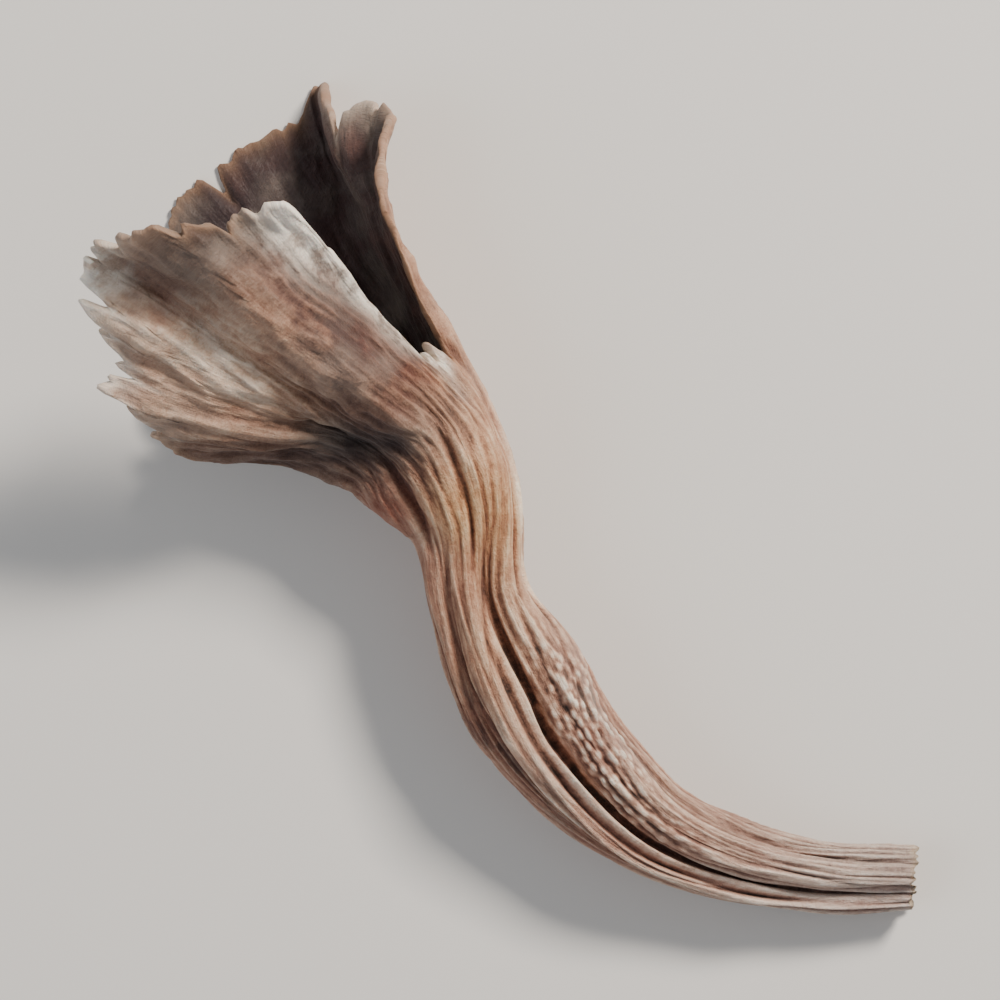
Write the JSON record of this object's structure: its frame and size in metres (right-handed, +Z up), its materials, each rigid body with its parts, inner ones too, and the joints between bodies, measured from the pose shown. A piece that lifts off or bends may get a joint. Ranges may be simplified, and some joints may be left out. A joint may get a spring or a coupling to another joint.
{
  "type": "black trumpet mushroom",
  "caption": "Dried black trumpet mushroom lying on its side: a thin, fluted, hollow funnel with a torn wavy rim, a pinched neck and a furrowed, curved stem.",
  "frame": {"origin": "on the surface that the mushroom lies on, under the middle of its bounding box", "axes": "+X from the torn rim of the funnel towards the cut foot of the stem, along the longest side of the box, +Z up, away from the surface that it lies on"},
  "size_m": [0.0262, 0.0258, 0.0099],
  "materials": {
    "dried_flesh": "matt"
  },
  "bodies": {
    "root": {"trumpet_mushroom": "dried_flesh"}
  },
  "joints": []
}
